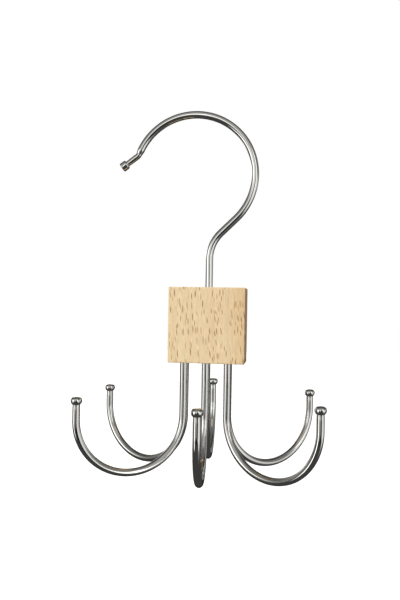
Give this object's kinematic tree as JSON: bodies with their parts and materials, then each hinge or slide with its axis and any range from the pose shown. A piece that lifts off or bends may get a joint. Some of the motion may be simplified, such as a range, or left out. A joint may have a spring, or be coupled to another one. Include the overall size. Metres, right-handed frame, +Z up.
{
  "type": "tie hanger",
  "caption": "Hanger for ties and belts: a wooden block that turns under a wire crook for a rail, with J-shaped wire hooks with beaded ends spread round its underside.",
  "frame": {"origin": "where a rail touches the underside of the crook, at its highest point", "axes": "+Z up, along the swivel axis; +Y along the rail, away from the viewer; +X to the right, so the crook opens towards -X"},
  "size_m": [0.1249, 0.1206, 0.1922],
  "materials": {
    "beech": "planed and lightly oiled, fine vertical grain with short dark ray flecks",
    "chrome_wire": "bright chrome plate on drawn steel wire",
    "bush_steel": "turned, zinc plated"
  },
  "bodies": {
    "crook": {"top_hook": "chrome_wire"},
    "carrier": {"block": "beech", "swivel_bush": "bush_steel", "hook_front_left": "chrome_wire", "hook_front_centre": "chrome_wire", "hook_front_right": "chrome_wire", "hook_rear_left": "chrome_wire", "hook_rear_centre": "chrome_wire", "hook_rear_right": "chrome_wire"}
  },
  "joints": [
    {"name": "swivel", "type": "hinge", "parent": "crook", "child": "carrier", "pos_m": [0.00886, 0, -0.0907], "axis": [0, 0, 1], "continuous": true}
  ]
}
